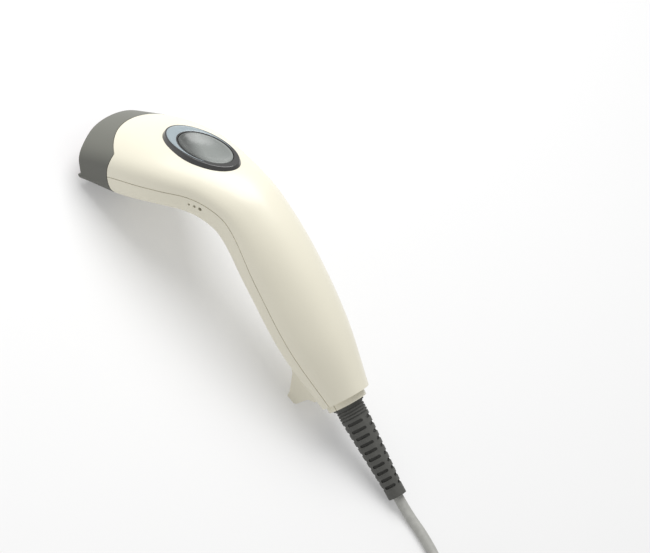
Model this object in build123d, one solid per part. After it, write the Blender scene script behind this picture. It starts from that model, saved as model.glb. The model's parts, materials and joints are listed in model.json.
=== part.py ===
"""Handheld contact barcode scanner, lying on a table with its cable run out.

X runs from the nose to the cable end, Y across and Z up from the table.  The scanner stands on
its lower nose lip and on the tip of its hanging hook.  Everything is in millimetres, and the
finished pieces are moved so that the origin is the middle of the scanner's footprint.
"""
import os
from math import acos, cos, hypot, pi, radians, sin, tan

from build123d import *

os.makedirs("parts", exist_ok=True)

# ---------------------------------------------------------------- driving dimensions
# Sections across the housing, nose to tail: x and z of the parting line and its slope, then
# half width, crown height, shoulder height, depth under the parting line, and the squareness
# of the upper and of the lower curve.
STATIONS = [
    (-4.2, 2.2, 45.5, 27.9, 19.0, 11.3, 7.0, 4.5, 4.5),
    (0.0, 6.5, 45.5, 28.0, 19.0, 11.3, 7.0, 4.5, 4.5),
    (18.5, 24.2, 41.0, 29.5, 18.7, 11.6, 11.4, 4.5, 4.5),
    (33.0, 35.5, 35.5, 28.6, 17.2, 11.2, 11.0, 4.4, 4.4),
    (44.4, 43.6, 29.0, 25.6, 15.0, 9.6, 11.0, 4.2, 4.2),
    (56.3, 50.8, 17.5, 21.5, 13.2, 7.8, 12.8, 4.0, 3.8),
    (75.2, 54.3, -3.5, 18.7, 14.2, 7.6, 14.8, 3.6, 3.4),
    (104.0, 44.7, -17.0, 19.7, 18.6, 11.2, 13.6, 3.2, 3.0),
    (138.5, 32.5, -18.7, 18.9, 17.8, 10.8, 13.4, 3.0, 2.8),
    (171.0, 22.3, -17.0, 13.2, 12.2, 8.2, 11.6, 2.4, 2.4),
]
SECTION_COUNT = 26
OUTLINE_POINTS = 24
WALL = 2.2
GROOVE_WIDTH = 0.45
GROOVE_DEPTH = 0.8

# Hood and window
HOOD_CROWN_LENGTH = 13.7
HOOD_ARC_RADIUS = 34.0
HOOD_SIDE_LENGTH = 25.6
LIP_REACH = 2.2
LIP_TOP = -2.3
WINDOW_FRONT = 5.5
WINDOW_THICKNESS = 2.0

# Trigger button and its oval bezel: half lengths and half widths
BEZEL_BASE = (23.8, 14.3)
BEZEL_TOP = (21.7, 12.3)
BEZEL_HEIGHT = 0.9
BEZEL_BOTTOM = -3.1
HOUSING_OVAL = (21.1, 11.7)
BUTTON_OVAL = (15.6, 10.1)
BUTTON_OFFSET = 2.3
BUTTON_TOP = 1.1
BUTTON_FOOT = -5.0
BUTTON_CLEARANCE = 0.35
BUTTON_TRAVEL = 0.7
DISH = (14.1, 8.6, 1.9)
GUIDE_FLOOR = -1.4
GUIDE_REAR = -6.3

# Boards
SWITCH_BOARD_TOP = -9.6
BOARD_THICKNESS = 1.2
MAIN_BOARD = (-33.0, 28.0, 13.5)
MAIN_BOARD_THICKNESS = 1.6

# Screws
HOUSING_SCREW_SHANK = 1.0
HOUSING_SCREW_HEAD = 2.2
HOUSING_SCREW_LENGTH = 12.0
BOARD_SCREW_SHANK = 0.9
BOARD_SCREW_HEAD = 1.9
BOARD_SCREW_LENGTH = 5.0

# Cable and strain relief
CABLE_RADIUS = 2.6
RELIEF_DROP = -1.5
RELIEF_END = 54.5
COLLAR_RADIUS = 10.2
COLLAR_LENGTH = 3.3
RELIEF_NECK = 6.0
RELIEF_BASE = 7.2
RELIEF_TIP = 4.75
SLOT_ROWS = 10
FIRST_SLOT = 12.9
SLOT_PITCH = 3.94
SLOT_WIDTH = 1.6
SLOT_DEPTH = 1.8
SLOT_TURN = 55.0
CABLE_REST = 2.65

# Coil of the put-away cable and the plug
COIL_CENTRE = (322.0, 0.0)
COIL_MEAN_RADIUS = 30.0
COIL_COLUMNS = 4
COIL_LAYERS = 2
PLUG_HALF_HEIGHT = 3.75


# ---------------------------------------------------------------- helpers
def frame(x, z, angle, y=0.0):
    """Local x along an axis at this slope in the XZ plane, local y across, local z off it."""
    a = radians(angle)
    return Plane(origin=(x, y, z), x_dir=(cos(a), 0, sin(a)), z_dir=(-sin(a), 0, cos(a)))


HEAD = frame(0.0, 6.5, 44.0)
OPTICS = frame(0.0, 6.5, 38.6)
BUTTON = frame(35.8, 55.95, 25.2)
HANDLE = frame(104.0, 44.7, -18.4)
TAIL = frame(171.0, 22.3, -16.6)


def block(at, x, y, z):
    """Box between three (low, high) pairs of a frame."""
    middle = Pos((x[0] + x[1]) / 2, (y[0] + y[1]) / 2, (z[0] + z[1]) / 2)
    return at * middle * Box(x[1] - x[0], y[1] - y[0], z[1] - z[0])


def rod(at, x, radius, y=0.0, z=0.0):
    """Cylinder along the frame's x between a (low, high) pair."""
    middle = Pos((x[0] + x[1]) / 2, y, z) * Rot(0, 90, 0)
    return at * middle * Cylinder(radius, x[1] - x[0])


def post(at, x, y, z, radius):
    """Cylinder along the frame's z between a (low, high) pair."""
    return at * Pos(x, y, (z[0] + z[1]) / 2) * Cylinder(radius, z[1] - z[0])


def oval(at, half, z, x=0.0):
    """Elliptical prism between a (low, high) pair of the frame's z."""
    return at * Pos(x, 0, z[0]) * extrude(Ellipse(half[0], half[1]), z[1] - z[0])


def joined(pieces):
    """One solid from pieces that touch or overlap."""
    whole = pieces[0]
    for piece in pieces[1:]:
        whole = whole + piece
    return whole


def blended_stations():
    """The station rows, smoothly blended and evenly spaced along the parting line."""
    rows = STATIONS
    reach = [0.0]
    for before, after in zip(rows, rows[1:]):
        reach.append(reach[-1] + hypot(after[0] - before[0], after[1] - before[1]))
    last = len(rows) - 1

    def slope(i, k):
        low = max(i - 1, 0)
        high = min(i + 1, last)
        return (rows[high][k] - rows[low][k]) / (reach[high] - reach[low])

    blended = []
    for step in range(SECTION_COUNT):
        along = reach[-1] * step / (SECTION_COUNT - 1)
        i = 0
        while i < last - 1 and along > reach[i + 1]:
            i += 1
        span = reach[i + 1] - reach[i]
        u = (along - reach[i]) / span
        start = 2 * u**3 - 3 * u**2 + 1
        leave = (u**3 - 2 * u**2 + u) * span
        arrive = (u**3 - u**2) * span
        row = []
        for k in range(len(rows[0])):
            value = start * rows[i][k] + (1 - start) * rows[i + 1][k]
            value += leave * slope(i, k) + arrive * slope(i + 1, k)
            row.append(value)
        blended.append(row)
    return blended


SECTIONS = blended_stations()


def outline(station, inset):
    """Closed section of the housing, as a face standing across the parting line."""
    x, z, angle, width, crown, shoulder, depth, upper, lower = station
    a = radians(angle)
    plane = Plane(origin=(x, 0, z), x_dir=(0, 1, 0), z_dir=(cos(a), 0, sin(a)))
    points = []
    for step in range(OUTLINE_POINTS):
        turn = 2 * pi * step / OUTLINE_POINTS - pi / 2
        above = sin(turn) > -1e-9
        squareness = upper if above else lower
        reach = (abs(cos(turn)) ** squareness + abs(sin(turn)) ** squareness) ** (-1 / squareness)
        across = reach * cos(turn)
        rise = reach * sin(turn)
        if above:
            height = (shoulder - inset + (crown - shoulder) * (1 - across**2)) * rise
        else:
            height = (depth - inset) * rise
        points.append(plane.from_local_coords(Vector((width - inset) * across, height, 0)))
    evenly = [step / OUTLINE_POINTS for step in range(OUTLINE_POINTS + 1)]
    return make_face(Edge.make_spline(points, periodic=True, parameters=evenly))


def housing(inset):
    """The whole outer form of the scanner, taken in by this much."""
    return loft([outline(station, inset) for station in SECTIONS])


def below_parting(lift):
    """Everything under the parting line, shifted up by this much."""
    line = [(row[0], row[1] + lift) for row in SECTIONS]
    front = (line[0][0] - 20, line[0][1] - 20)
    rear = (line[-1][0] + 20, line[-1][1] - 6)
    top = Spline(front, *line, rear)
    sides = Polyline(rear, (rear[0], -60), (front[0], -60), front)
    return extrude(Plane.XZ * make_face(top + sides), 60, both=True)


def hood_region(grow):
    """The front of the head up to the hood's rear edge, shifted back by this much."""
    crown = HOOD_CROWN_LENGTH + grow
    half = 26.0
    sweep = crown + HOOD_ARC_RADIUS - (HOOD_ARC_RADIUS**2 - half**2) ** 0.5
    arc = ThreePointArc((sweep, -half), (crown, 0), (sweep, half))
    rest = Polyline((sweep, half), (sweep, 40), (-20, 40), (-20, -40), (sweep, -40), (sweep, -half))
    plan = HEAD * Pos(0, 0, -30) * extrude(make_face(arc + rest), 60)
    edge = Spline(
        (HOOD_SIDE_LENGTH + grow, 14.0),
        (24.2 + grow, 8.0),
        (21.7 + grow, 0.0),
        (22.6 + grow, -6.5),
        (25.0 + grow, -12.0),
    )
    around = Polyline(
        (25.0 + grow, -12.0),
        (25.0 + grow, -30),
        (-20, -30),
        (-20, 40),
        (HOOD_SIDE_LENGTH + grow, 40),
        (HOOD_SIDE_LENGTH + grow, 14.0),
    )
    side_plane = Plane(origin=HEAD.origin, x_dir=HEAD.x_dir, z_dir=(0, -1, 0))
    side = side_plane * extrude(make_face(edge + around), 60, both=True)
    return plan & side


def nose_region():
    """Everything behind the hood's bowed front edge and the lip under it."""
    edge = Spline((2.2, -30), (1.8, -21.5), (0.8, -16), (0.0, 0), (0.8, 16), (1.8, 21.5), (2.2, 30))
    rest = Polyline((2.2, 30), (260, 30), (260, -30), (2.2, -30))
    plan = make_face(edge + rest)
    above = HEAD * Pos(0, 0, LIP_TOP) * extrude(plan, 90)
    below = HEAD * Pos(-LIP_REACH, 0, LIP_TOP - 160) * extrude(plan, 160)
    return above + below


# ---------------------------------------------------------------- shells
table_cut = Pos(100, 0, -50) * Box(500, 200, 100)
outer = housing(0)
inner = housing(WALL)
core = housing(GROOVE_DEPTH)
shell = outer - inner

parting_band = below_parting(GROOVE_WIDTH / 2) - below_parting(-GROOVE_WIDTH / 2) - core
hood_front = hood_region(0)
hood_band = hood_region(GROOVE_WIDTH) - hood_front - core
under = below_parting(0)

HOUSING_SCREWS = [
    (HEAD, 32.5, 22.3, -6.6),
    (HEAD, 32.5, -22.3, -6.6),
    (HANDLE, 36.0, 11.5, -7.0),
    (HANDLE, 36.0, -11.5, -7.0),
]
SWITCH_POSTS = [(13.0, 8.5), (13.0, -8.5), (-8.0, 8.5), (-8.0, -8.5)]
MAIN_POSTS = [(-29.5, 10.6), (-29.5, -10.6), (24.5, 10.6), (24.5, -10.6)]


def make_hood():
    """Grey hood that wraps the nose, with the seat of the scan window inside it."""
    ring = (shell & hood_front) - hood_band
    seat_front = WINDOW_FRONT + WINDOW_THICKNESS + 1.0
    seat = block(HEAD, (seat_front, seat_front + 1.6), (-40, 40), (-30, 40))
    seat = (seat & housing(WALL - 0.3)) - housing(WALL + 1.6)
    return ((ring + seat) & nose_region()) - table_cut


def end_wall():
    """Wall that closes the tail, and the collar that stands out of it."""
    wall = outer & block(TAIL, (-3.2, 0.6), (-30, 30), (-30, 30))
    collar = rod(TAIL, (-1.0, COLLAR_LENGTH), COLLAR_RADIUS, z=RELIEF_DROP)
    bore = rod(TAIL, (-6, 8), RELIEF_NECK + 0.05, z=RELIEF_DROP)
    return (wall + collar) - bore


def make_upper():
    """Ivory upper shell with its screw bosses and the oval opening for the button."""
    body = (shell - hood_front) + end_wall()
    bosses = [post(at, x, y, (-1, 17), 3.0) for at, x, y, seat in HOUSING_SCREWS]
    body = joined([body] + [boss & core for boss in bosses])
    body = body - under - parting_band - hood_band
    body = body - oval(BUTTON, HOUSING_OVAL, (-9, 6))
    for at, x, y, seat in HOUSING_SCREWS:
        body = body - post(at, x, y, (-2, seat + HOUSING_SCREW_LENGTH + 1.0), HOUSING_SCREW_SHANK)
    return body


def make_hook():
    """Hanging hook under the cable end of the handle, pointing back at the nose."""
    profile = Polyline(
        (38, -6), (43.5, -14.5), (49, -16.5), (53, -20.5), (57, -24.6), (58.6, -27.6),
        (62.6, -27.6), (64.0, -24.5), (64.0, -15.5), (66.5, -12.0), (66.5, -6), close=True,
    )
    face = fillet(make_face(profile).vertices(), 1.3)
    plane = Plane(origin=HANDLE.origin, x_dir=HANDLE.x_dir, z_dir=(0, -1, 0))
    return plane * extrude(face, 9.5, both=True)


def make_lower():
    """Ivory lower shell with the hook, board posts, screw wells and sound holes."""
    body = (shell - hood_front) + end_wall()
    body = body + (make_hook() - inner)
    posts = [post(at, x, y, (-16, 0.5), 3.6) for at, x, y, seat in HOUSING_SCREWS]
    board_bottom = SWITCH_BOARD_TOP - BOARD_THICKNESS
    posts += [post(BUTTON, x, y, (-30, board_bottom), 2.2) for x, y in SWITCH_POSTS]
    posts += [post(HANDLE, x, y, (-20, -MAIN_BOARD_THICKNESS), 2.2) for x, y in MAIN_POSTS]
    body = joined([body] + [piece & core for piece in posts])
    body = (body & under) - parting_band - hood_band
    for at, x, y, seat in HOUSING_SCREWS:
        body = body - post(at, x, y, (-30, seat), HOUSING_SCREW_HEAD + 0.3)
        body = body - post(at, x, y, (-30, 2), HOUSING_SCREW_SHANK + 0.35)
    for x, y in SWITCH_POSTS:
        body = body - post(BUTTON, x, y, (board_bottom - 5, 0), BOARD_SCREW_SHANK)
    for x, y in MAIN_POSTS:
        body = body - post(HANDLE, x, y, (-MAIN_BOARD_THICKNESS - 5, 0), BOARD_SCREW_SHANK)
    for x, z, radius in ((55.5, 46.7, 0.55), (58.1, 47.9, 0.7), (60.9, 49.0, 0.95)):
        hole = Pos(x, -20, z) * Rot(90, 0, 0) * Cylinder(radius, 16)
        body = body - hole
    return body - table_cut


# ---------------------------------------------------------------- window
def make_window():
    slab = block(HEAD, (WINDOW_FRONT, WINDOW_FRONT + WINDOW_THICKNESS), (-40, 40), (-30, 40))
    return slab & housing(WALL + 0.05)


def make_gasket():
    """Foam frame between the window and its seat."""
    rear = WINDOW_FRONT + WINDOW_THICKNESS
    slab = block(HEAD, (rear, rear + 1.0), (-40, 40), (-30, 40))
    return (slab & housing(WALL + 0.1)) - housing(WALL + 1.6)


# ---------------------------------------------------------------- trigger button
def bezel_pad():
    """Oval pad with sloping sides that the bezel and the light guide are both cut from."""
    low = BUTTON * Pos(0, 0, BEZEL_BOTTOM - 0.1) * Ellipse(*BEZEL_BASE)
    high = BUTTON * Pos(0, 0, BEZEL_HEIGHT) * Ellipse(*BEZEL_TOP)
    pad = loft([low, high])
    rim = pad.edges().sort_by(lambda edge: (edge @ 0.0 - BUTTON.origin).dot(BUTTON.z_dir))[-1]
    return fillet(rim, 0.6)


def guide_blank(gap):
    """Crescent ahead of the button, taken in by a gap."""
    front = oval(BUTTON, (BEZEL_TOP[0] - 0.9 - gap, BEZEL_TOP[1] - 0.9 - gap), (GUIDE_FLOOR, 3))
    around_button = oval(BUTTON, (17.0 + gap, 12.0 + gap), (GUIDE_FLOOR - 1, 4), BUTTON_OFFSET)
    ahead = block(BUTTON, (-30, GUIDE_REAR - gap), (-20, 20), (GUIDE_FLOOR - 1, 4))
    return (front - around_button) & ahead


def make_bezel():
    pad = bezel_pad()
    flange = pad - outer
    plug = pad & oval(BUTTON, (HOUSING_OVAL[0] - 0.1, HOUSING_OVAL[1] - 0.1), (BEZEL_BOTTOM, 3))
    body = flange + plug
    hole = (BUTTON_OVAL[0] + BUTTON_CLEARANCE, BUTTON_OVAL[1] + BUTTON_CLEARANCE)
    body = body - oval(BUTTON, hole, (-6, 4), BUTTON_OFFSET)
    body = body - guide_blank(0)
    return body - block(BUTTON, (-19.3, -15.9), (-3.5, 3.5), (-6, 0))


def make_light_guide():
    """Clear crescent that shows the good-read light."""
    stem = block(BUTTON, (-19.1, -16.1), (-3.3, 3.3), (BEZEL_BOTTOM, GUIDE_FLOOR + 0.5))
    return (bezel_pad() & guide_blank(0.05)) + stem


def make_button():
    """Dished button with a retaining flange and a foot that meets the switch."""
    body = oval(BUTTON, BUTTON_OVAL, (-3.6, BUTTON_TOP), BUTTON_OFFSET)
    rim = body.edges().sort_by(lambda edge: (edge @ 0.0 - BUTTON.origin).dot(BUTTON.z_dir))[-1]
    body = fillet(rim, 0.5)
    flange = (BUTTON_OVAL[0] + 1.2, BUTTON_OVAL[1] + 1.2)
    body = body + oval(BUTTON, flange, (-4.6, -3.4), BUTTON_OFFSET)
    dish = BUTTON * Pos(BUTTON_OFFSET, 0, BUTTON_TOP) * scale(Sphere(1), DISH)
    hollow = (BUTTON_OVAL[0] - 1.6, BUTTON_OVAL[1] - 1.6)
    body = body - dish - oval(BUTTON, hollow, (-6, -2.3), BUTTON_OFFSET)
    return body + post(BUTTON, BUTTON_OFFSET, 0, (BUTTON_FOOT, -2.0), 2.4)


SWITCH_TOP = SWITCH_BOARD_TOP + 3.4
SWITCH_FLOOR = SWITCH_BOARD_TOP + 0.8
PLUNGER_GAP = 0.5


def make_switch_body():
    x = (BUTTON_OFFSET - 3.1, BUTTON_OFFSET + 3.1)
    body = block(BUTTON, x, (-3.1, 3.1), (SWITCH_BOARD_TOP, SWITCH_TOP))
    return body - post(BUTTON, BUTTON_OFFSET, 0, (SWITCH_FLOOR, SWITCH_TOP + 1), 2.05)


def make_switch_plunger():
    bottom = SWITCH_FLOOR + PLUNGER_GAP + BUTTON_TRAVEL
    return post(BUTTON, BUTTON_OFFSET, 0, (bottom, BUTTON_FOOT), 1.7)


def make_switch_board():
    z = (SWITCH_BOARD_TOP - BOARD_THICKNESS, SWITCH_BOARD_TOP)
    body = block(BUTTON, (-20.0, 16.5), (-11.0, 11.0), z)
    for x, y in SWITCH_POSTS:
        body = body - post(BUTTON, x, y, (-12, 0), BOARD_SCREW_SHANK + 0.2)
    return body


def dome_led(at, tip_frame_x, radius, length):
    """Round lamp with a domed tip, pointing along local x."""
    barrel = at * Pos(tip_frame_x + (length - radius) / 2, 0, 0) * Rot(0, 90, 0)
    body = barrel * Cylinder(radius, length - radius)
    dome = at * Pos(tip_frame_x + length - radius, 0, 0) * Sphere(radius)
    return body + dome


def make_status_led():
    upright = Plane(
        origin=(BUTTON * Pos(-17.6, 0, SWITCH_BOARD_TOP)).position,
        x_dir=BUTTON.z_dir,
        z_dir=(0, 1, 0),
    )
    return dome_led(upright, 0, 1.5, 5.2)


# ---------------------------------------------------------------- optics
CHASSIS_HALF = 17.5
BARREL_RADIUS = 4.0
LENS_AXIS = 2.4
LENS_RADIUS = 3.0
LENS_CURVE = 8.0
LENS_SPAN = (27.5, 31.5)
LED_BOARD_FRONT = 14.0
LED_COUNT = 6


def make_chassis():
    """Black tray that carries the lamps, the lens and the sensor board."""
    parts = [block(OPTICS, (11.8, 42.3), (-CHASSIS_HALF, CHASSIS_HALF), (-3.8, -2.4))]
    for side in (-1, 1):
        y = sorted((side * (CHASSIS_HALF - 1.4), side * CHASSIS_HALF))
        parts.append(block(OPTICS, (12.0, 42.3), y, (-2.6, 6.5)))
        y = sorted((side * (CHASSIS_HALF - 4.5), side * CHASSIS_HALF))
        rear = LED_BOARD_FRONT + BOARD_THICKNESS
        parts.append(block(OPTICS, (rear, rear + 1.8), y, (-2.6, 12.0)))
    wall = block(OPTICS, (30.0, 32.0), (-CHASSIS_HALF, CHASSIS_HALF), (-2.6, 7.5))
    parts.append(wall - rod(OPTICS, (28, 34), BARREL_RADIUS, z=LENS_AXIS))
    return joined(parts)


def make_lens_barrel():
    bore = rod(OPTICS, (26, 37), LENS_RADIUS, z=LENS_AXIS)
    return rod(OPTICS, (26.5, 36.5), BARREL_RADIUS, z=LENS_AXIS) - bore


def make_lens():
    """Biconvex glass lens held in the barrel."""
    front, rear = LENS_SPAN
    sag = LENS_CURVE - (LENS_CURVE**2 - LENS_RADIUS**2) ** 0.5
    half_height = LENS_CURVE * sin(acos((LENS_CURVE - sag) / LENS_CURVE) / 2)
    half_sag = LENS_CURVE - (LENS_CURVE**2 - half_height**2) ** 0.5
    near = ThreePointArc((front, 0), (front + half_sag, half_height), (front + sag, LENS_RADIUS))
    edge = Line((front + sag, LENS_RADIUS), (rear - sag, LENS_RADIUS))
    far = ThreePointArc((rear - sag, LENS_RADIUS), (rear - half_sag, half_height), (rear, 0))
    axis = Line((rear, 0), (front, 0))
    at = OPTICS * Pos(0, 0, LENS_AXIS)
    meridian = Plane(origin=at.position, x_dir=OPTICS.x_dir, z_dir=(0, -1, 0))
    return revolve(meridian * make_face(near + edge + far + axis), Axis(at.position, OPTICS.x_dir))


def make_sensor():
    return block(OPTICS, (38.9, 41.1), (-14.5, 14.5), (LENS_AXIS - 4.0, LENS_AXIS + 4.0))


def make_sensor_board():
    y = (-CHASSIS_HALF + 1.5, CHASSIS_HALF - 1.5)
    return block(OPTICS, (41.1, 41.1 + BOARD_THICKNESS), y, (-2.35, 7.4))


def make_led_board():
    x = (LED_BOARD_FRONT, LED_BOARD_FRONT + BOARD_THICKNESS)
    return block(OPTICS, x, (-CHASSIS_HALF, CHASSIS_HALF), (7.6, 12.0))


def make_illumination_leds():
    lamps = []
    for i in range(LED_COUNT):
        y = -13.5 + 27.0 * i / (LED_COUNT - 1)
        forward = Plane(
            origin=(OPTICS * Pos(LED_BOARD_FRONT, y, 9.8)).position,
            x_dir=(-OPTICS.x_dir.X, 0, -OPTICS.x_dir.Z),
            z_dir=(0, 1, 0),
        )
        lamps.append(dome_led(forward, 0, 1.5, 4.6))
    return Compound(children=lamps)


def make_ribbon():
    """Flat flexible cable from the sensor board to the main board."""
    route = [(34.0, 35.3), (45.0, 39.8), (58.0, 46.5), (68.0, 54.2), (73.7, 55.8)]
    top = Spline(*route)
    bottom = Spline(*[(x, z - 0.35) for x, z in route])
    ends = [Line(top @ 0, bottom @ 0), Line(top @ 1, bottom @ 1)]
    face = Plane.XZ * make_face(Curve() + [top, bottom] + ends)
    return extrude(face, 5.0, both=True)


def make_ribbon_socket():
    """Low socket at the front edge of the main board, which grips the ribbon."""
    return block(HANDLE, (-32.0, -28.4), (-6.5, 6.5), (0, 1.8))


# ---------------------------------------------------------------- handle electronics
def make_main_board():
    rear, front, half = MAIN_BOARD[1], MAIN_BOARD[0], MAIN_BOARD[2]
    body = block(HANDLE, (front, rear), (-half, half), (-MAIN_BOARD_THICKNESS, 0))
    for x, y in MAIN_POSTS:
        body = body - post(HANDLE, x, y, (-4, 1), BOARD_SCREW_SHANK + 0.2)
    return body


def make_decoder():
    """Square chip with a row of leads on each side."""
    body = block(HANDLE, (-12, 0), (-6, 6), (0.15, 1.7))
    leads = []
    for i in range(10):
        along = -4.5 + i
        leads.append(block(HANDLE, (-6 + along - 0.2, -6 + along + 0.2), (-7.2, 7.2), (0, 0.4)))
        leads.append(block(HANDLE, (-13.2, 1.2), (along - 0.2, along + 0.2), (0, 0.4)))
    return joined([body] + leads)


def make_memory():
    body = block(HANDLE, (5.5, 10.5), (2.0, 10.0), (0.15, 1.5))
    leads = [block(HANDLE, (4.5, 11.5), (3.0 + i, 3.4 + i), (0, 0.4)) for i in range(7)]
    return joined([body] + leads)


def make_crystal():
    left = post(HANDLE, 7.0, -7.0, (0, 3.4), 2.2)
    right = post(HANDLE, 7.0, -1.8, (0, 3.4), 2.2)
    return left + right + block(HANDLE, (4.8, 9.2), (-7.0, -1.8), (0, 3.4))


def make_buzzer():
    """Round sounder under the board, beside the sound holes."""
    bottom = -MAIN_BOARD_THICKNESS
    body = post(HANDLE, -21.5, 0, (bottom - 7.0, bottom), 6.0)
    return body - post(HANDLE, -21.5, 0, (bottom - 8.0, bottom - 5.0), 1.0)


def make_cable_header():
    body = block(HANDLE, (16.0, 25.0), (-7.8, 7.8), (0, 6.4))
    return body - block(HANDLE, (17.0, 26.0), (-6.8, 6.8), (1.0, 5.4))


def make_cable_plug():
    return block(HANDLE, (18.0, 27.5), (-6.75, 6.75), (1.05, 5.35))


WIRE_COUNT = 6
JACKET_START = -27.0


def make_wires():
    """Thin wires from the jacket to the plug."""
    wires = []
    for i in range(WIRE_COUNT):
        turn = 2 * pi * i / WIRE_COUNT
        y = -4.8 + 9.6 * i / (WIRE_COUNT - 1)
        jacket = TAIL * Pos(JACKET_START, 1.3 * sin(turn - pi / 2), RELIEF_DROP + 1.2 * cos(turn))
        start = jacket.position
        out = (TAIL * Pos(JACKET_START - 5, y / 2, RELIEF_DROP + 1.5)).position
        into = (HANDLE * Pos(32.5, y, 3.2)).position
        end = (HANDLE * Pos(27.5, y, 3.2)).position
        ways = (-TAIL.x_dir, -HANDLE.x_dir)
        path = Spline(start, out, into, end, tangents=ways)
        wires.append(sweep(Plane(origin=path @ 0, z_dir=path % 0) * Circle(0.45), path=path))
    return Compound(children=wires)


def screw(at, x, y, seat, toward, shank, head, length):
    """Pan-head screw whose head sits on the seat and whose shank runs along local z."""
    head_height = 0.75 * head
    body = post(at, x, y, sorted((seat, seat + toward * length)), shank)
    cap = post(at, x, y, sorted((seat - toward * head_height, seat)), head)
    slot_depth = sorted((seat - toward * head_height, seat - toward * head_height * 0.45))
    wide = block(at, (x - head * 0.6, x + head * 0.6), (y - 0.25, y + 0.25), slot_depth)
    tall = block(at, (x - 0.25, x + 0.25), (y - head * 0.6, y + head * 0.6), slot_depth)
    return (body + cap) - wide - tall


def make_housing_screws():
    size = (HOUSING_SCREW_SHANK, HOUSING_SCREW_HEAD, HOUSING_SCREW_LENGTH)
    return Compound(children=[screw(at, x, y, seat, 1, *size) for at, x, y, seat in HOUSING_SCREWS])


def make_board_screws():
    size = (BOARD_SCREW_SHANK, BOARD_SCREW_HEAD, BOARD_SCREW_LENGTH)
    screws = [screw(BUTTON, x, y, SWITCH_BOARD_TOP, -1, *size) for x, y in SWITCH_POSTS]
    screws += [screw(HANDLE, x, y, 0, -1, *size) for x, y in MAIN_POSTS]
    return Compound(children=screws)


# ---------------------------------------------------------------- cable
def make_relief():
    """Moulded strain relief: clamped flange, ringed root, slotted taper and plain end."""
    profile = Polyline(
        (-5.8, CABLE_RADIUS + 0.05), (-5.8, 7.4), (-3.25, 7.4), (-3.25, RELIEF_NECK),
        (COLLAR_LENGTH + 0.02, RELIEF_NECK), (COLLAR_LENGTH + 0.02, 8.1), (4.4, 8.1),
        (4.4, RELIEF_BASE), (10.5, RELIEF_BASE), (50.0, RELIEF_TIP), (RELIEF_END, RELIEF_TIP),
        (RELIEF_END, CABLE_RADIUS + 0.05), close=True,
    )
    at = TAIL * Pos(0, 0, RELIEF_DROP)
    meridian = Plane(origin=at.position, x_dir=TAIL.x_dir, z_dir=(0, -1, 0))
    body = revolve(meridian * make_face(profile), Axis(at.position, TAIL.x_dir))
    cuts = []
    for i in range(4):
        ring = rod(TAIL, (5.3 + 1.5 * i, 6.0 + 1.5 * i), 9.0, z=RELIEF_DROP)
        cuts.append(ring - rod(TAIL, (5.0 + 1.5 * i, 6.4 + 1.5 * i), 6.7, z=RELIEF_DROP))
    for row in range(SLOT_ROWS):
        x = FIRST_SLOT + SLOT_PITCH * row
        radius = RELIEF_BASE + (RELIEF_TIP - RELIEF_BASE) * (x - 10.5) / 39.5
        slot = SlotOverall(1.15 * radius, SLOT_WIDTH, rotation=90)
        for quarter in range(4):
            turn = Rot(SLOT_TURN + 90 * quarter, 0, 0)
            cutter = Pos(x, 0, RELIEF_DROP) * turn * Pos(0, 0, radius - SLOT_DEPTH)
            cuts.append(TAIL * cutter * extrude(slot, 4))
    return body - cuts


def make_cable_lead():
    """The jacket inside the handle and the strain relief."""
    return rod(TAIL, (JACKET_START, RELIEF_END), CABLE_RADIUS, z=RELIEF_DROP)


EXIT = (TAIL * Pos(RELIEF_END, 0, RELIEF_DROP)).position
FIRST_TOUCH = (TAIL * Pos(RELIEF_END + 9.3, 0, RELIEF_DROP)).position
CORD_ROUTE = [
    (EXIT.X, 0.0, EXIT.Z),
    (FIRST_TOUCH.X, 0.0, FIRST_TOUCH.Z),
    (246.0, -1.2, CABLE_REST),
    (262.0, -5.4, CABLE_REST),
    (278.5, -13.6, CABLE_REST),
    (290.5, -24.8, CABLE_REST),
]
COIL_OUTER = COIL_MEAN_RADIUS + COIL_COLUMNS * CABLE_RADIUS
COIL_INNER = COIL_MEAN_RADIUS - COIL_COLUMNS * CABLE_RADIUS
COIL_HEIGHT = COIL_LAYERS * 2 * CABLE_RADIUS
PLUG_REST = COIL_HEIGHT + PLUG_HALF_HEIGHT + 0.05
END_ROUTE = [
    (359.8, 0.0, 7.85),
    (358.3, 9.8, 10.2),
    (353.4, 18.3, 12.5),
    (345.9, 24.6, 13.5),
    (336.6, 27.9, 13.9),
    (326.8, 27.7, 14.1),
    (317.8, 24.3, PLUG_REST),
    (310.6, 18.3, PLUG_REST),
]


def cord_tube(route, name):
    """Round cord along straight runs joined by tangent arcs, printing its bends."""
    points = [Vector(*point) for point in route]
    radii = []
    for before, corner, after in zip(points, points[1:], points[2:]):
        turn = (corner - before).get_angle(after - corner)
        shorter = min((corner - before).length, (after - corner).length)
        radii.append(0.45 * shorter / tan(radians(turn) / 2))
    path = FilletPolyline(*points, radius=radii)
    tube = sweep(Plane(origin=path @ 0, z_dir=path % 0) * Circle(CABLE_RADIUS), path=path)
    section = pi * CABLE_RADIUS**2
    print(name, "length", round(path.length, 1), "radii", [round(radius) for radius in radii])
    print(name, "volume", round(tube.volume, 1), "expected", round(section * path.length, 1))
    return tube


def make_coil():
    """Outer shape of the put-away coil."""
    middle = Pos(COIL_CENTRE[0], COIL_CENTRE[1], COIL_HEIGHT / 2)
    return middle * (Cylinder(COIL_OUTER, COIL_HEIGHT) - Cylinder(COIL_INNER, COIL_HEIGHT))


# ---------------------------------------------------------------- plug
PLUG_WAY = Vector(*END_ROUTE[-1]) - Vector(*END_ROUTE[-2])
PLUG = Plane(origin=END_ROUTE[-1], x_dir=PLUG_WAY.normalized(), z_dir=(0, 0, 1))
PLUG_BODY = (10.0, 34.0)
PLUG_SHELL_END = 46.0


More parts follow.
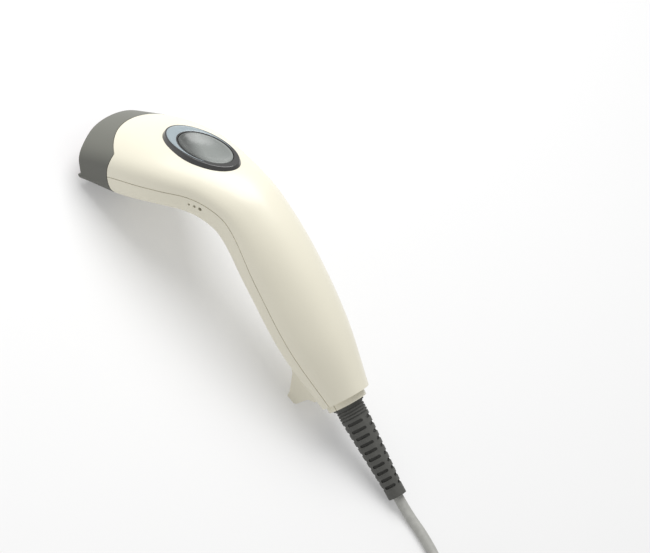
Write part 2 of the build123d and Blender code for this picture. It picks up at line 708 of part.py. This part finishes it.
def make_plug_body():
    """Overmoulded grip with a short tapered boot."""
    half = PLUG_HALF_HEIGHT
    body = block(PLUG, PLUG_BODY, (-8, 8), (-half, half))
    along = (PLUG.x_dir.X, PLUG.x_dir.Y, 0)
    body = fillet(body.edges().filter_by(lambda edge: abs((edge % 0.5).dot(Vector(along))) > 0.9), 2.4)
    tip = Plane(origin=PLUG.origin, z_dir=along)
    boot = loft([tip * Circle(3.1), tip * Pos(0, 0, PLUG_BODY[0] + 0.5) * Circle(3.7)])
    body = body + boot
    body = body - block(PLUG, (PLUG_BODY[1] - 6, PLUG_BODY[1] + 1), (-6.05, 6.05), (-2.3, 2.3))
    return body


def make_plug_shell():
    """Folded metal shell with its two latch windows."""
    x = (PLUG_BODY[1] - 6, PLUG_SHELL_END)
    body = block(PLUG, x, (-6, 6), (-2.25, 2.25))
    body = body - block(PLUG, (x[0] + 0.5, x[1] + 1), (-5.7, 5.7), (-1.95, 1.95))
    for y in (-2.7, 2.7):
        window = (PLUG_SHELL_END - 7.5, PLUG_SHELL_END - 5.0)
        body = body - block(PLUG, window, (y - 1.25, y + 1.25), (-3, 3))
    return body


def make_plug_insert():
    """Plastic tongue that carries the contacts."""
    return block(PLUG, (PLUG_BODY[1] - 5.5, PLUG_SHELL_END - 0.8), (-5.65, 5.65), (-1.9, -0.1))


# ---------------------------------------------------------------- write the pieces
PIECES = {
    "nose_hood": make_hood(),
    "upper_housing": make_upper(),
    "lower_housing": make_lower(),
    "scan_window": make_window(),
    "window_gasket": make_gasket(),
    "button_bezel": make_bezel(),
    "light_guide": make_light_guide(),
    "trigger_button": make_button(),
    "switch_body": make_switch_body(),
    "switch_plunger": make_switch_plunger(),
    "switch_board": make_switch_board(),
    "status_led": make_status_led(),
    "optics_chassis": make_chassis(),
    "lens_barrel": make_lens_barrel(),
    "lens": make_lens(),
    "image_sensor": make_sensor(),
    "sensor_board": make_sensor_board(),
    "led_board": make_led_board(),
    "illumination_leds": make_illumination_leds(),
    "sensor_ribbon": make_ribbon(),
    "ribbon_socket": make_ribbon_socket(),
    "main_board": make_main_board(),
    "decoder_chip": make_decoder(),
    "memory_chip": make_memory(),
    "crystal": make_crystal(),
    "buzzer": make_buzzer(),
    "cable_header": make_cable_header(),
    "cable_plug": make_cable_plug(),
    "cable_wires": make_wires(),
    "housing_screws": make_housing_screws(),
    "board_screws": make_board_screws(),
    "strain_relief": make_relief(),
    "cable_lead": make_cable_lead(),
    "cord": cord_tube(CORD_ROUTE, "cord"),
    "cord_coil": make_coil(),
    "cord_end": cord_tube(END_ROUTE, "cord end"),
    "usb_plug_body": make_plug_body(),
    "usb_plug_shell": make_plug_shell(),
    "usb_plug_insert": make_plug_insert(),
}
CORD_PIECES = ("cord", "cord_coil", "cord_end", "usb_plug_body", "usb_plug_shell", "usb_plug_insert")

boxes = [piece.bounding_box() for name, piece in PIECES.items() if name not in CORD_PIECES]
low_x = min(box.min.X for box in boxes)
high_x = max(box.max.X for box in boxes)
print("scanner x", round(low_x, 2), round(high_x, 2), "low z", min(box.min.Z for box in boxes))
home = Pos(-(low_x + high_x) / 2, 0, 0)
for name, piece in PIECES.items():
    export_step(home * piece, f"parts/{name}.step")
print("shift", round(-(low_x + high_x) / 2, 3))
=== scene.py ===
"""The looks of a handheld barcode scanner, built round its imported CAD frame.

Everything is in metres in the row frame: X from the nose to the cable end, Y across, Z up from
the table.  Lengths written in millimetres are multiplied by MM.
"""
import json
import math

import bmesh
import bpy
from mathutils import Matrix, Vector


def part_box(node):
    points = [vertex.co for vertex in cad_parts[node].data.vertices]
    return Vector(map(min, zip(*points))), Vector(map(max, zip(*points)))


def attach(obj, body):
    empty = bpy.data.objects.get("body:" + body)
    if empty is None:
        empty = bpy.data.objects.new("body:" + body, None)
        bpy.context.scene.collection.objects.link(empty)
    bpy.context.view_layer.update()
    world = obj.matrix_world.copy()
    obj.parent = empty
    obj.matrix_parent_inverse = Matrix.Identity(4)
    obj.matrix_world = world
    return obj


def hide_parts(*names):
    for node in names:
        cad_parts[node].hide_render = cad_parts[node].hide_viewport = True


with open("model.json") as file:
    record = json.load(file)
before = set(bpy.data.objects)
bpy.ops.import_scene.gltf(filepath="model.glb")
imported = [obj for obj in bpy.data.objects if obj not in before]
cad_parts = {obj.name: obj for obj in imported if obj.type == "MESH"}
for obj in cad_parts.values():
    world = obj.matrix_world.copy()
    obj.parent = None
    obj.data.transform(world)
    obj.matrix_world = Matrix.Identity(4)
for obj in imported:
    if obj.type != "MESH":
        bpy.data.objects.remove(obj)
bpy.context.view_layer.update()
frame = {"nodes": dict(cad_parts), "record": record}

MM = 0.001
SCANNER = "scanner"

# The design's own x starts NOSE_REACH behind the tip of the nose hood.
NOSE_REACH = 13.17
HOME_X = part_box("nose_hood")[0].x + NOSE_REACH * MM


def place(x, y, z):
    """Point of the design, in millimetres, as a point of the row frame."""
    return Vector((HOME_X + x * MM, y * MM, z * MM))


# The bezel's middle on the housing and its slope, and how far behind it the button's middle lies.
BUTTON_ORIGIN = (35.8, 55.95)
BUTTON_SLOPE = 25.2
BUTTON_OFFSET = 2.3


def at_button(x, y, z):
    """Point of the button's own frame, in millimetres: x along the housing, y across, z out of it."""
    slope = math.radians(BUTTON_SLOPE)
    return place(BUTTON_ORIGIN[0] + x * math.cos(slope) - z * math.sin(slope), y,
                 BUTTON_ORIGIN[1] + x * math.sin(slope) + z * math.cos(slope))


# ---------------------------------------------------------------- camera
# The point it looks at, in millimetres, its angles in degrees, its distance in metres and its lens.
AIM = (120.27, 15.9, 47.8)
AZIMUTH = 13.64
ELEVATION = 45.25
ROLL = 40.49
DISTANCE = 1.0928
LENS = 124.9
SENSOR = 36.0
NEAR_CLIP = 0.01
FAR_CLIP = 20.0


def make_camera():
    """Looks down at the near side of the scanner, rolled so that the cable runs down."""
    azimuth, elevation, roll = (math.radians(a) for a in (AZIMUTH, ELEVATION, ROLL))
    back = Vector((math.sin(azimuth) * math.cos(elevation),
                   -math.cos(azimuth) * math.cos(elevation), math.sin(elevation)))
    right = Vector((math.cos(azimuth), math.sin(azimuth), 0))
    up = back.cross(right)
    across = math.cos(roll) * right + math.sin(roll) * up
    top = math.cos(roll) * up - math.sin(roll) * right
    data = bpy.data.cameras.new("camera")
    data.sensor_width = SENSOR
    data.lens = LENS
    data.clip_start = NEAR_CLIP
    data.clip_end = FAR_CLIP
    camera = bpy.data.objects.new("camera", data)
    bpy.context.scene.collection.objects.link(camera)
    turn = Matrix((across, top, back)).transposed().to_4x4()
    camera.matrix_world = Matrix.Translation(place(*AIM) + DISTANCE * back) @ turn
    bpy.context.scene.camera = camera


make_camera()

# ---------------------------------------------------------------- cord
# Millimetres, apart from CORD_LENGTH, which is in metres.
CORD_DIAMETER = 5.2
CORD_REST = 2.65
CORD_JACKET = "cable_jacket"
CORD_ROUTE = [
    (222.8, 0.0, 5.29),
    (231.72, 0.0, 2.63),
    (246.0, -1.2, CORD_REST),
    (262.0, -5.4, CORD_REST),
    (278.5, -13.6, CORD_REST),
    (290.5, -24.8, CORD_REST),
    (306.0, -34.8, CORD_REST),
]
COIL_CENTRE = (322.0, 0.0)
COIL_OUTER = 37.8
COIL_INNER = 22.2
COIL_TOP = 7.85
# Turns that the climb from the lower to the upper layer takes, and how far it swings inwards.
COIL_CROSSING = 1.25
COIL_DIP = 2.1
POINTS_PER_TURN = 16
END_ROUTE = [
    (358.3, 9.8, 10.2),
    (353.4, 18.3, 12.5),
    (345.9, 24.6, 13.5),
    (336.6, 27.9, 13.9),
    (326.8, 27.7, 14.1),
    (317.8, 24.3, 14.2),
    (310.6, 18.3, 14.2),
]


def coil_points():
    """Two flat layers of turns: inwards on the table, up, and outwards on top."""
    inwards = (COIL_OUTER - COIL_INNER) / CORD_DIAMETER
    outwards = inwards + COIL_CROSSING
    count = round((inwards + outwards) * POINTS_PER_TURN)
    # The smooth line runs inside its points by this factor.
    grow = 1 / math.cos(math.pi / POINTS_PER_TURN)
    points = []
    for i in range(count + 1):
        turns = i / POINTS_PER_TURN
        if turns <= inwards:
            radius = COIL_OUTER - CORD_DIAMETER * turns
            height = CORD_REST
        elif turns < outwards:
            radius = COIL_INNER - COIL_DIP * math.sin(math.pi * (turns - inwards) / COIL_CROSSING)
            rise = min(1.0, turns - inwards)
            height = CORD_REST + (COIL_TOP - CORD_REST) * rise**2 * (3 - 2 * rise)
        else:
            radius = COIL_INNER + CORD_DIAMETER * (turns - outwards)
            height = COIL_TOP
        angle = 2 * math.pi * turns - math.pi / 2
        points.append((COIL_CENTRE[0] + grow * radius * math.cos(angle),
                       COIL_CENTRE[1] + grow * radius * math.sin(angle), height))
    return points


def make_cord():
    """The whole cable on one smooth spline: off the strain relief, into its coil, to the plug."""
    route = CORD_ROUTE + coil_points() + END_ROUTE
    data = bpy.data.curves.new("cable", "CURVE")
    data.dimensions = "3D"
    data.resolution_u = 6
    data.bevel_depth = CORD_DIAMETER / 2 * MM
    data.bevel_resolution = 6
    data.use_fill_caps = True
    # The jacket goes on before the first measurement: added later, it spoils the curve's bounds.
    data.materials.append(bpy.data.materials.new(CORD_JACKET))
    spline = data.splines.new("NURBS")
    spline.points.add(len(route) - 1)
    for point, where in zip(spline.points, route):
        point.co = (*place(*where), 1)
    spline.order_u = 3
    spline.use_endpoint_u = True
    cord = bpy.data.objects.new("cable", data)
    bpy.context.scene.collection.objects.link(cord)
    return cord


cord = make_cord()
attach(cord, SCANNER)
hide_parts("cord", "cord_coil", "cord_end")


# ---------------------------------------------------------------- materials
class Nodes:
    """A material's node tree: adds nodes, sets their sockets and links them.

    A name that the cord already carries takes that material; any other name makes a new one.
    """

    def __init__(self, name):
        self.material = cord.data.materials.get(name) or bpy.data.materials.new(name)
        self.material.use_nodes = True
        self.tree = self.material.node_tree
        self.shader = self.tree.nodes["Principled BSDF"]
        self.position = self.add("ShaderNodeTexCoord").outputs["Object"]

    def add(self, kind, **sockets):
        """New node, with its sockets set or linked by name, an underscore for each space."""
        node = self.tree.nodes.new(kind)
        for name, value in sockets.items():
            self.put(node.inputs[name.replace("_", " ")], value)
        return node

    def put(self, socket, value):
        """Links an output into the socket, or sets the socket's own value."""
        if isinstance(value, bpy.types.NodeSocket):
            self.tree.links.new(value, socket)
        else:
            socket.default_value = value

    def noise(self, size, detail=2.0, stretch=(1, 1, 1)):
        """Noise whose features are about this many millimetres across."""
        mapping = self.add("ShaderNodeMapping", Vector=self.position, Scale=stretch)
        scale = 1 / (size * MM)
        noise = self.add("ShaderNodeTexNoise", Vector=mapping.outputs[0], Scale=scale, Detail=detail)
        return noise.outputs["Fac"]

    def between(self, factor, low, high, start=0.0, end=1.0):
        """Number from low to high as the factor goes from start to end."""
        node = self.add("ShaderNodeMapRange")
        for name, value in zip(("Value", "From Min", "From Max", "To Min", "To Max"),
                               (factor, start, end, low, high)):
            self.put(node.inputs[name], value)
        return node.outputs[0]

    def blend(self, factor, low, high):
        """Colour from low to high; inputs 6 and 7 and output 2 are the node's colours."""
        node = self.add("ShaderNodeMix")
        node.data_type = "RGBA"
        self.put(node.inputs[0], factor)
        for socket, value in ((node.inputs[6], low), (node.inputs[7], high)):
            self.put(socket, value if isinstance(value, bpy.types.NodeSocket) else (*value, 1))
        return node.outputs[2]

    def bump(self, height, depth, strength, below=None):
        """Relief of this many millimetres."""
        node = self.add("ShaderNodeBump", Strength=strength, Distance=depth * MM, Height=height)
        if below is not None:
            self.put(node.inputs["Normal"], below)
        return node.outputs["Normal"]

    def finish(self, **sockets):
        """The material, once the shader's sockets are set or linked."""
        for name, value in sockets.items():
            self.put(self.shader.inputs[name.replace("_", " ")], value)
        return self.material


# Scale at which half a stripe of a wave texture is about a millimetre wide.
WAVE_SCALE = 1 / (MM * 6.2832)


def shade(colour, by):
    """The colour, lighter or darker by a factor."""
    return tuple(min(1.0, value * by) for value in colour)


def moulded(name, colour, gloss, grain=0.28, relief=0.012, vary=0.05, scuffs=0.25, flank_shade=1.0,
            **sockets):
    """Injection-moulded plastic: spark texture, cloudy tone, and faint rubbed streaks.

    Faces that stand upright or look down take the plain colour times the flank factor: painted shade,
    not a colour of the plastic.
    """
    n = Nodes(name)
    clouds = n.noise(22.0, 3.0)
    tone = n.blend(clouds, shade(colour, 1 - vary), shade(colour, 1 + vary))
    rubbed = n.between(n.noise(5.0, 6.0, (1.0, 3.5, 1.0)), 0.0, 1.0, 0.58, 0.8)
    tone = n.blend(n.between(rubbed, 0.0, scuffs * 0.35), tone, shade(colour, 1.18))
    normal = n.add("ShaderNodeNewGeometry").outputs["Normal"]
    upward = n.add("ShaderNodeSeparateXYZ", Vector=normal)
    # Painted shade: faces that stand upright or look down are darkened by the flank factor.
    tone = n.blend(n.between(upward.outputs["Z"], 1.0, 0.0, 0.15, 0.6), tone, shade(colour, flank_shade))
    pits = n.noise(grain, 2.0)
    waves = n.bump(n.noise(9.0, 2.0), 0.02, 0.25)
    matte = n.between(rubbed, gloss + 0.06, gloss + 0.06 - 0.1 * scuffs)
    return n.finish(Base_Color=tone, Roughness=n.between(pits, gloss - 0.04, matte),
                    Normal=n.bump(pits, relief, 0.6, waves), **sockets)


def dished(name, colour, gloss):
    """Satin button plastic with a little grime, and painted shade darkening the dish's near side."""
    n = Nodes(name)
    across = n.add("ShaderNodeVectorMath", Vector=n.position)
    across.operation = "DOT_PRODUCT"
    across.inputs[1].default_value = DISH_SHADE
    level = Vector(DISH_SHADE).dot(at_button(BUTTON_OFFSET, 0, 0))
    start, end = (level + reach * MM for reach in DISH_SHADE_REACH)
    # Painted shade: the dish darkens towards its near side and is painted a little lighter on its far
    # side.
    near = n.between(across.outputs["Value"], 0.0, 1.0, start, end)
    grime = n.noise(2.5, 4.0)
    tone = n.blend(near, shade(colour, 1.05), shade(colour, 0.33))
    tone = n.blend(n.between(grime, 0.0, 0.25, 0.4, 0.7), tone, shade(colour, 0.8))
    return n.finish(Base_Color=tone, Roughness=n.between(grime, gloss - 0.04, gloss + 0.08),
                    Normal=n.bump(n.noise(0.3), 0.006, 0.5))


def soft_rubber(name, colour, gloss=0.55):
    """Flexible moulding with flow marks along X and a little bloom on its surface."""
    n = Nodes(name)
    bloom = n.between(n.noise(3.0, 5.0), 0.0, 0.5, 0.45, 0.75)
    tone = n.blend(bloom, colour, shade(colour, 1.35))
    flow = n.noise(0.6, 3.0, (0.25, 1.0, 1.0))
    return n.finish(Base_Color=tone, Roughness=n.between(flow, gloss - 0.06, gloss + 0.1),
                    Normal=n.bump(flow, 0.02, 0.5), Specular_IOR_Level=0.4)


def metal(name, colour, gloss, grain=0.25):
    """Plated or rolled metal with fine drawing marks and a few dull spots."""
    n = Nodes(name)
    lines = n.noise(grain, 4.0, (1.0, 12.0, 1.0))
    spots = n.between(n.noise(1.6, 4.0), 0.0, 1.0, 0.55, 0.8)
    tone = n.blend(n.between(spots, 0.0, 0.35), colour, shade(colour, 0.7))
    return n.finish(Base_Color=tone, Roughness=n.between(lines, gloss - 0.08, gloss + 0.12),
                    Normal=n.bump(lines, 0.004, 0.4), Metallic=1.0)


def clear(name, colour, gloss, transmission, ior=1.49, haze=0.4):
    """Clear or frosted moulding with a trace of dust."""
    n = Nodes(name)
    dust = n.between(n.noise(0.9, 5.0), 0.0, haze, 0.6, 0.85)
    tone = n.blend(dust, colour, shade(colour, 1.25))
    return n.finish(Base_Color=tone, Roughness=n.between(dust, gloss, gloss + 0.25),
                    Normal=n.bump(n.noise(6.0), 0.01, 0.3), Transmission_Weight=transmission,
                    IOR=ior)


def circuit_board(name, colour, pitch=2.2):
    """Green board: solder mask with copper tracks under it and bright pads."""
    n = Nodes(name)
    cells = n.add("ShaderNodeTexVoronoi", Vector=n.position, Scale=1 / (pitch * MM))
    cells.distance = "CHEBYCHEV"
    tracks = n.between(cells.outputs["Distance"], 1.0, 0.0, 0.30, 0.36)
    pads = n.between(cells.outputs["Distance"], 1.0, 0.0, 0.10, 0.14)
    tone = n.blend(tracks, colour, shade(colour, 2.2))
    tone = n.blend(pads, tone, (0.72, 0.70, 0.62))
    return n.finish(Base_Color=tone, Roughness=n.between(pads, 0.32, 0.22),
                    Metallic=n.between(pads, 0.0, 0.9), Normal=n.bump(tracks, 0.035, 0.7))


def striped(name, colour, stripe, half_width, gloss=0.35):
    """Plain stripes across Y, about twice half_width wide, as on a ribbon cable or coloured wires."""
    n = Nodes(name)
    mapping = n.add("ShaderNodeMapping", Vector=n.position, Scale=(0, 1, 0))
    wave = n.add("ShaderNodeTexWave", Vector=mapping.outputs[0], Scale=WAVE_SCALE / half_width)
    wave.bands_direction = "DIAGONAL"
    tone = n.blend(n.between(wave.outputs["Fac"], 0.0, 1.0, 0.4, 0.6), colour, stripe)
    return n.finish(Base_Color=tone, Roughness=n.between(n.noise(1.0), gloss - 0.05, gloss + 0.08),
                    Normal=n.bump(wave.outputs["Fac"], 0.05, 0.5))


# Direction in which painted shade darkens the dish, and from where to where, in millimetres from its
# middle.
DISH_SHADE = (-0.45, -0.87, -0.2)
DISH_SHADE_REACH = (0.5, 7.5)
IVORY = (0.785, 0.75, 0.62)
LOOKS = {
    "shell_ivory": moulded("shell_ivory", IVORY, 0.34, vary=0.015, scuffs=0.2, Coat_Weight=0.15,
                           Coat_Roughness=0.25),
    # The hood's flanks carry painted shade through a flank factor of 0.72.
    "hood_grey": moulded("hood_grey", (0.158, 0.160, 0.138), 0.5, grain=0.35, relief=0.02,
                         vary=0.04, flank_shade=0.72),
    "window_red": clear("window_red", (0.75, 0.03, 0.025), 0.05, 0.85),
    "foam_black": soft_rubber("foam_black", (0.02, 0.02, 0.02), 0.8),
    "bezel_grey": moulded("bezel_grey", (0.045, 0.045, 0.045), 0.22, vary=0.06, Coat_Weight=0.3,
                          Coat_Roughness=0.12),
    "guide_clear": clear("guide_clear", (0.46, 0.54, 0.58), 0.16, 0.35),
    "button_grey": dished("button_grey", (0.23, 0.245, 0.235), 0.24),
    "black_plastic": moulded("black_plastic", (0.02, 0.02, 0.021), 0.45),
    "white_plastic": moulded("white_plastic", (0.78, 0.76, 0.70), 0.4, vary=0.02),
    "board_green": circuit_board("board_green", (0.015, 0.11, 0.045)),
    "lamp_clear": clear("lamp_clear", (0.75, 0.9, 0.75), 0.08, 0.8, 1.53),
    "lamp_red": clear("lamp_red", (0.8, 0.05, 0.04), 0.1, 0.7, 1.53),
    "lens_glass": clear("lens_glass", (0.92, 0.96, 0.97), 0.02, 1.0, 1.52, 0.1),
    "chip_black": moulded("chip_black", (0.025, 0.025, 0.027), 0.55, grain=0.12),
    "ribbon_amber": striped("ribbon_amber", (0.55, 0.25, 0.05), (0.70, 0.42, 0.14), 0.5),
    "plated_steel": metal("plated_steel", (0.72, 0.71, 0.68), 0.28),
    "wire_jackets": striped("wire_jackets", (0.55, 0.04, 0.03), (0.04, 0.04, 0.05), 2.0),
    "screw_steel": metal("screw_steel", (0.55, 0.55, 0.54), 0.35),
    "relief_grey": soft_rubber("relief_grey", (0.083, 0.083, 0.076)),
    "cable_grey": soft_rubber(CORD_JACKET, (0.38, 0.38, 0.355), 0.42),
    "plug_grey": soft_rubber("plug_grey", (0.083, 0.083, 0.076)),
}
SLOT_OF = {part["node"]: part["material_slot"] for part in frame["record"]["subparts"]}
for name, node in frame["nodes"].items():
    node.data.materials.clear()
    node.data.materials.append(LOOKS[SLOT_OF[name]])

# ---------------------------------------------------------------- modelled pieces
RING_POINTS = 96
# Millimetres that a corner is cut back by, and the most that it takes of either side.
CORNER_CUT = 0.12
CORNER_SHARE = 0.4


def eased(profile, size):
    """The profile with each corner between its ends cut back to two points."""
    points = [Vector(point) for point in profile]
    result = [points[0]]
    for before, corner, after in zip(points, points[1:], points[2:]):
        for other in (before, after):
            way = other - corner
            result.append(corner + min(size, CORNER_SHARE * way.length) * way.normalized())
    return result + [points[-1]]


def skin(name, rows):
    """Smooth closed mesh over rows of points, each row a loop, with a flat cap at either end."""
    data = bpy.data.meshes.new(name)
    mesh = bmesh.new()
    rings = [[mesh.verts.new(point) for point in row] for row in rows]
    for low, high in zip(rings, rings[1:]):
        for i in range(len(low)):
            j = (i + 1) % len(low)
            mesh.faces.new((low[i], low[j], high[j], high[i]))
    mesh.faces.new(reversed(rings[0]))
    mesh.faces.new(rings[-1])
    bmesh.ops.recalc_face_normals(mesh, faces=mesh.faces)
    for face in mesh.faces:
        face.smooth = len(face.verts) == 4
    mesh.to_mesh(data)
    mesh.free()
    piece = bpy.data.objects.new(name, data)
    bpy.context.scene.collection.objects.link(piece)
    return piece


def stand_in(piece, body, slot, *nodes):
    """The piece takes the place of CAD nodes on a body."""
    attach(piece, body)
    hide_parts(*nodes)
    piece.data.materials.append(LOOKS[slot])


# Half length, half width and height of each loop, from the foot to the dish's edge.
BUTTON_PROFILE = [
    (2.4, 2.4, -5.0), (2.4, 2.4, -2.3), (14.0, 8.5, -2.3), (14.0, 8.5, -4.6),
    (16.8, 11.3, -4.6), (16.8, 11.3, -3.4), (15.6, 10.1, -3.4), (15.6, 10.1, 0.75),
    (15.25, 9.75, 1.1), (14.35, 8.85, 1.1), (14.0, 8.5, 0.85),
]
DISH_DEPTH = 2.3
DISH_CURVE = 2.4
DISH_ROWS = 14


def make_button():
    """Oval button with a thin raised rim round a deep dish, a flange and a foot."""
    profile = eased(BUTTON_PROFILE, CORNER_CUT)
    half_length, half_width, edge = profile[-1]
    for i in range(1, DISH_ROWS):
        reach = math.cos(math.pi / 2 * i / DISH_ROWS)
        drop = DISH_DEPTH * (1 - reach**DISH_CURVE)
        profile.append((half_length * reach, half_width * reach, edge - drop))
    turns = [2 * math.pi * i / RING_POINTS for i in range(RING_POINTS)]
    rows = []
    for length, width, height in profile:
        rows.append([at_button(BUTTON_OFFSET + length * math.cos(turn), width * math.sin(turn), height)
                     for turn in turns])
    stand_in(skin("trigger_cap", rows), "trigger", "button_grey", "trigger_button")


# Half lengths and half widths of the crescent's two ovals, and its half sweep in degrees.
GUIDE_OUTER = (21.35, 11.95)
GUIDE_INNER = (16.45, 10.95)
GUIDE_SWEEP = 118.0
GUIDE_STEPS = 64
# Share of the half sweep that keeps its full width, and share of the width left at the tips.
GUIDE_FULL = 0.45
GUIDE_TIP = 0.1
# Share of the way from the inner to the outer oval, and height, round the section.
GUIDE_SECTION = [(0.0, -1.3), (0.0, 0.8), (0.06, 0.95), (0.5, 1.12), (0.92, 0.95), (1.0, 0.7),
                 (1.0, -1.3)]


def make_guide():
    """Clear crescent that lies ahead of the button and thins out towards both tips."""
    rows = []
    for i in range(GUIDE_STEPS + 1):
        along = 2 * i / GUIDE_STEPS - 1
        turn = math.radians(180 + GUIDE_SWEEP * along)
        thinning = max(0.0, abs(along) - GUIDE_FULL) / (1 - GUIDE_FULL)
        width = 1 - (1 - GUIDE_TIP) * thinning**1.5
        inner = Vector((BUTTON_OFFSET + GUIDE_INNER[0] * math.cos(turn),
                        GUIDE_INNER[1] * math.sin(turn)))
        outer = Vector((GUIDE_OUTER[0] * math.cos(turn), GUIDE_OUTER[1] * math.sin(turn)))
        row = []
        for share, height in GUIDE_SECTION:
            spot = inner.lerp(outer, share * width)
            row.append(at_button(spot.x, spot.y, height))
        rows.append(row)
    stand_in(skin("light_crescent", rows), SCANNER, "guide_clear", "light_guide")


make_button()
make_guide()

# ---------------------------------------------------------------- floor and light
# Metres and watts.
FLOOR_HALF = 12.0
FLOOR_GLOW = 0.25
KEY_PLACE = (-0.55, 0.2, 0.95)
KEY_TARGET = (0, 0, 0.03)
KEY_SIZE = (1.0, 0.8)
KEY_POWER = 12.5
SKY_STRENGTH = 0.53


def make_floor():
    """Plain pale light table with a faint unevenness."""
    data = bpy.data.meshes.new("floor")
    corners = [(-1, -1), (1, -1), (1, 1), (-1, 1)]
    data.from_pydata([(x * FLOOR_HALF, y * FLOOR_HALF, 0) for x, y in corners], [], [(0, 1, 2, 3)])
    floor = bpy.data.objects.new("floor", data)
    bpy.context.scene.collection.objects.link(floor)
    n = Nodes("floor")
    tone = n.blend(n.noise(300.0), (0.58, 0.58, 0.58), (0.60, 0.60, 0.60))
    data.materials.append(n.finish(Base_Color=tone, Roughness=0.6, Specular_IOR_Level=0.2,
                                   Emission_Color=(1, 1, 1, 1), Emission_Strength=FLOOR_GLOW))


def softbox(name, where, toward, size, power):
    """Large rectangular light aimed at a point."""
    data = bpy.data.lights.new(name, "AREA")
    data.shape = "RECTANGLE"
    data.size, data.size_y = size
    data.energy = power
    light = bpy.data.objects.new(name, data)
    light.location = where
    light.rotation_mode = "QUATERNION"
    light.rotation_quaternion = (Vector(toward) - Vector(where)).to_track_quat("-Z", "Y")
    bpy.context.scene.collection.objects.link(light)


def make_world(strength):
    """Even white surroundings."""
    world = bpy.data.worlds.new("studio")
    bpy.context.scene.world = world
    world.use_nodes = True
    background = world.node_tree.nodes["Background"]
    background.inputs["Color"].default_value = (1, 1, 1, 1)
    background.inputs["Strength"].default_value = strength


make_floor()
softbox("key", KEY_PLACE, KEY_TARGET, KEY_SIZE, KEY_POWER)
make_world(SKY_STRENGTH)
bpy.context.scene.view_settings.view_transform = "Standard"
